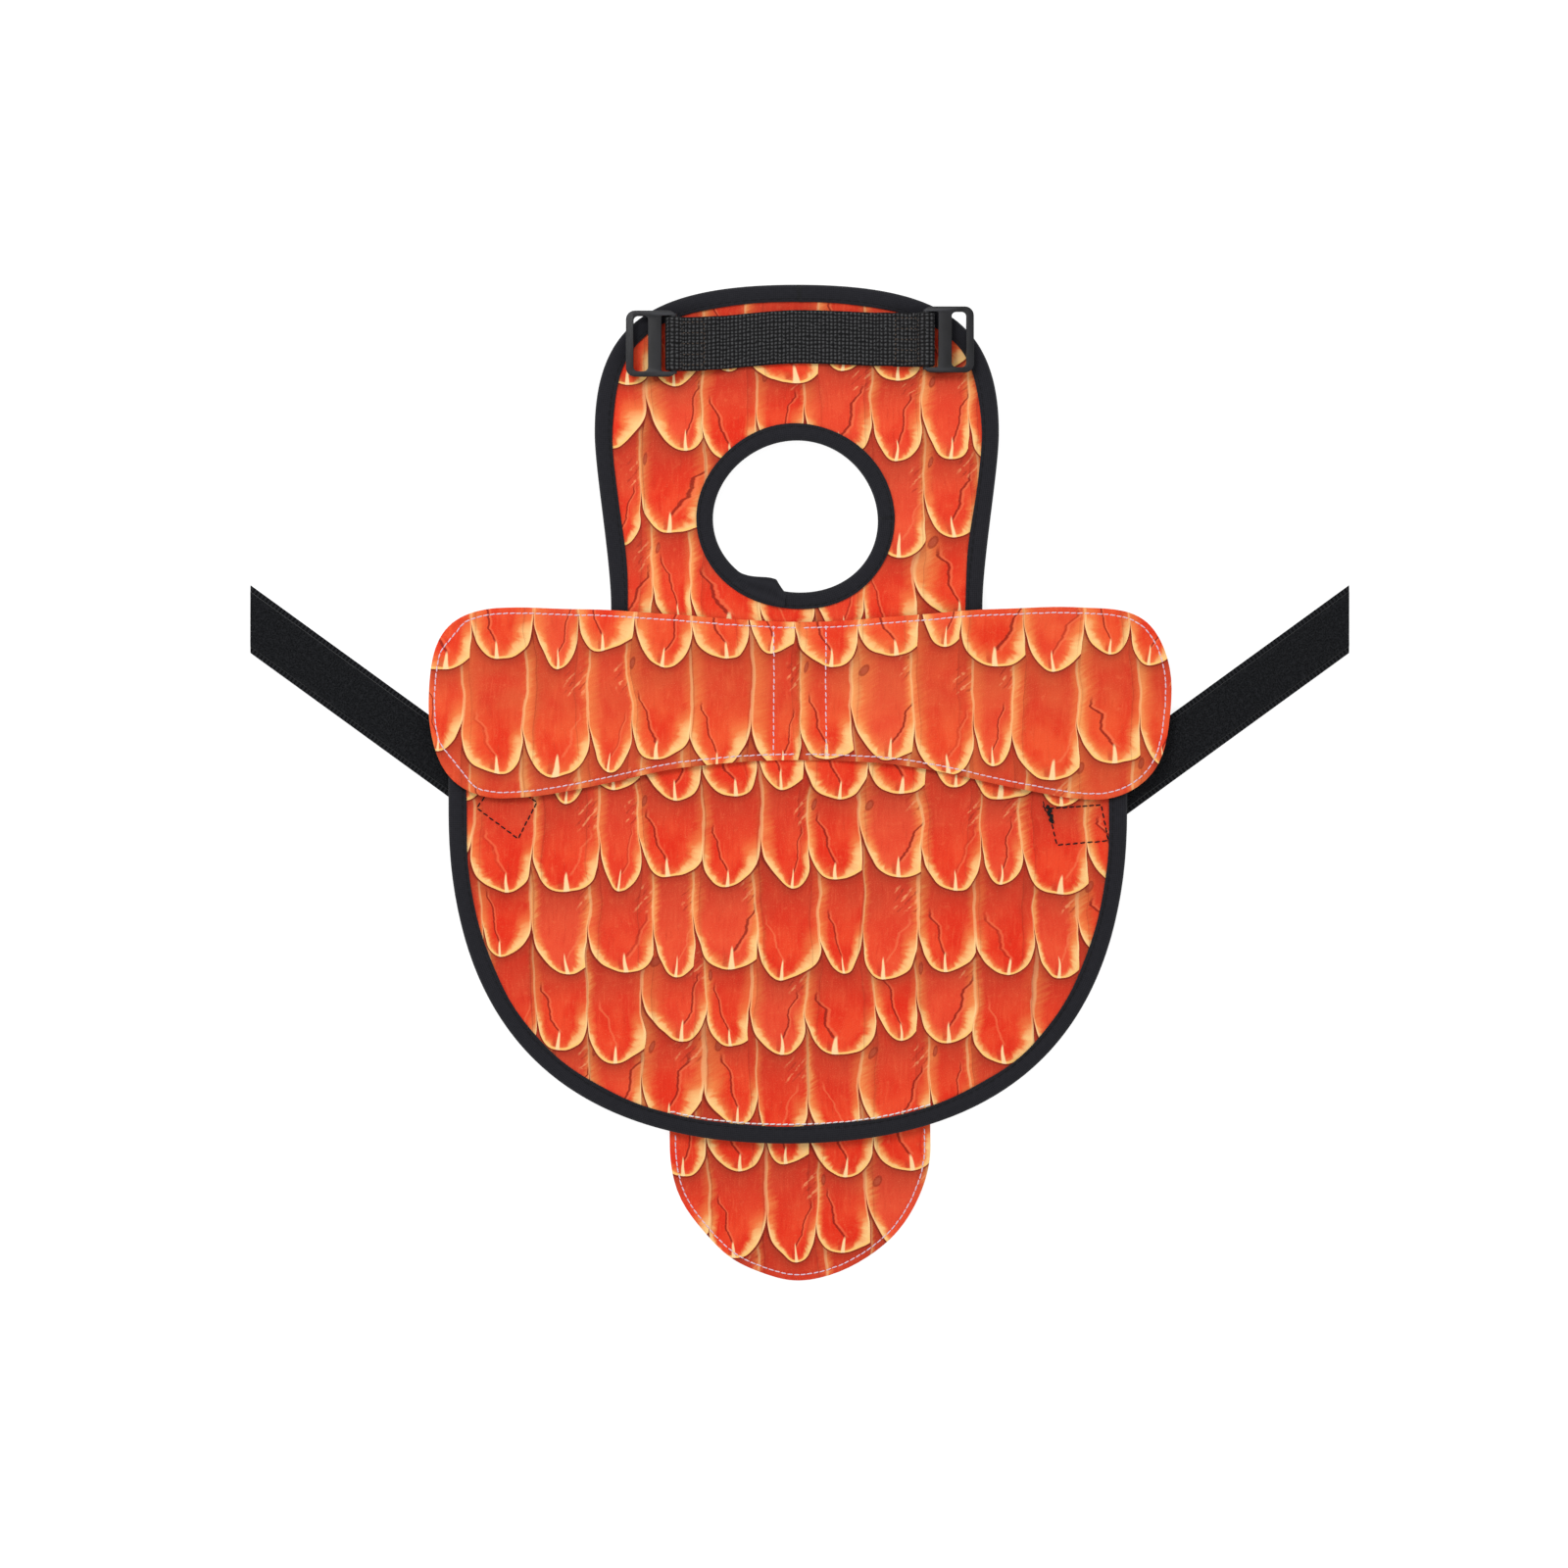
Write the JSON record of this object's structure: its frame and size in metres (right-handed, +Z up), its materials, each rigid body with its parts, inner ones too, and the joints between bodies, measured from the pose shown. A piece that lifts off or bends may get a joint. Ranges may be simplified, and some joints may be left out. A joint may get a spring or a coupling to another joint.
{
  "type": "hen saddle vest",
  "caption": "Printed fabric saddle vest for a hen: bound panel with a head opening, wing and tail flaps, hook-and-loop side straps, and a chest webbing with sliders.",
  "frame": {"origin": "middle of the outer box, on the surface that the garment lies on", "axes": "+Z up from that surface, +Y towards the breast edge, +X towards the right strap seen from above"},
  "size_m": [0.32, 0.2898, 0.0101],
  "materials": {
    "printed_fabric": "smooth polyester, slightly glossy, printed with overlapping feather scales in orange red and gold",
    "lining_fabric": "matte woven",
    "interlining": "matte felted",
    "edge_binding": "matte plain weave",
    "loop_tape": "fuzzy loop pile between woven edges",
    "strap_backing": "matte flat weave",
    "hook_tape": "moulded hooks on a woven base",
    "webbing": "ribbed flat weave",
    "slider_plastic": "satin moulded",
    "white_thread": "twisted sewing thread",
    "black_thread": "twisted sewing thread"
  },
  "bodies": {
    "back": {"back_face": "printed_fabric", "back_interlining": "interlining", "back_lining": "lining_fabric", "back_binding": "edge_binding", "head_opening_binding_rear": "edge_binding", "head_opening_binding_end": "edge_binding", "wing_centre_face": "printed_fabric", "wing_centre_lining": "lining_fabric", "wing_centre_stitch_left": "white_thread", "wing_centre_stitch_right": "white_thread", "tail_seam_allowance": "printed_fabric", "tail_seam_stitch": "white_thread", "strap_anchor_left": "loop_tape", "strap_anchor_right": "loop_tape", "strap_box_stitch_left": "black_thread", "strap_box_stitch_right": "black_thread"},
    "breast": {"breast_face": "printed_fabric", "breast_interlining": "interlining", "breast_lining": "lining_fabric", "breast_binding": "edge_binding", "head_opening_binding_front": "edge_binding", "chest_webbing": "webbing", "webbing_box_stitch_left": "black_thread", "webbing_box_stitch_right": "black_thread"},
    "slider_left": {"slider_left": "slider_plastic"},
    "slider_right": {"slider_right": "slider_plastic"},
    "wing_left": {"wing_left_face": "printed_fabric", "wing_left_lining": "lining_fabric", "wing_left_topstitch": "white_thread"},
    "wing_right": {"wing_right_face": "printed_fabric", "wing_right_lining": "lining_fabric", "wing_right_topstitch": "white_thread"},
    "tail": {"tail_face": "printed_fabric", "tail_lining": "lining_fabric", "tail_topstitch": "white_thread"},
    "strap_left": {"strap_left_loop_tape": "loop_tape", "strap_left_backing_tape": "strap_backing"},
    "strap_right": {"strap_right_loop_tape": "loop_tape", "strap_right_backing_tape": "strap_backing"},
    "strap_tip_left": {"strap_tip_left_loop_tape": "loop_tape", "strap_tip_left_hook_patch": "hook_tape"},
    "strap_tip_right": {"strap_tip_right_loop_tape": "loop_tape", "strap_tip_right_hook_patch": "hook_tape"}
  },
  "joints": [
    {"name": "neck_fold", "type": "hinge", "parent": "back", "child": "breast", "pos_m": [0, 0.0766, 0.0051], "axis": [1, 0, 0], "range_deg": [0, 100]},
    {"name": "wing_left_fold", "type": "hinge", "parent": "back", "child": "wing_left", "pos_m": [-0.0082, 0.0267, 0.0068], "axis": [0, 1, 0], "range_deg": [0, 85]},
    {"name": "strap_left_fold", "type": "hinge", "parent": "back", "child": "strap_left", "pos_m": [-0.1166, 0.0162, 0.0014], "axis": [0.5878, 0.809, 0], "range_deg": [0, 100]},
    {"name": "strap_tip_left_fold", "type": "hinge", "parent": "strap_left", "child": "strap_tip_left", "pos_m": [-0.14411, 0.03619, 0.0014], "axis": [0.5878, 0.809, 0], "range_deg": [0, 160]},
    {"name": "slider_left_swing", "type": "hinge", "parent": "breast", "child": "slider_left", "pos_m": [-0.0366, 0.129, 0.0076], "axis": [0, 1, 0], "range_deg": [0, 110]},
    {"name": "wing_right_fold", "type": "hinge", "parent": "back", "child": "wing_right", "pos_m": [0.0082, 0.0267, 0.0068], "axis": [0, -1, 0], "range_deg": [0, 85]},
    {"name": "strap_right_fold", "type": "hinge", "parent": "back", "child": "strap_right", "pos_m": [0.1166, 0.0162, 0.0014], "axis": [0.5878, -0.809, 0], "range_deg": [0, 100]},
    {"name": "strap_tip_right_fold", "type": "hinge", "parent": "strap_right", "child": "strap_tip_right", "pos_m": [0.14411, 0.03619, 0.0014], "axis": [0.5878, -0.809, 0], "range_deg": [0, 160]},
    {"name": "slider_right_swing", "type": "hinge", "parent": "breast", "child": "slider_right", "pos_m": [0.0366, 0.129, 0.0076], "axis": [0, -1, 0], "range_deg": [0, 110]},
    {"name": "tail_fold", "type": "hinge", "parent": "back", "child": "tail", "pos_m": [0, -0.107, 0.0014], "axis": [-1, 0, 0], "range_deg": [0, 100]}
  ]
}
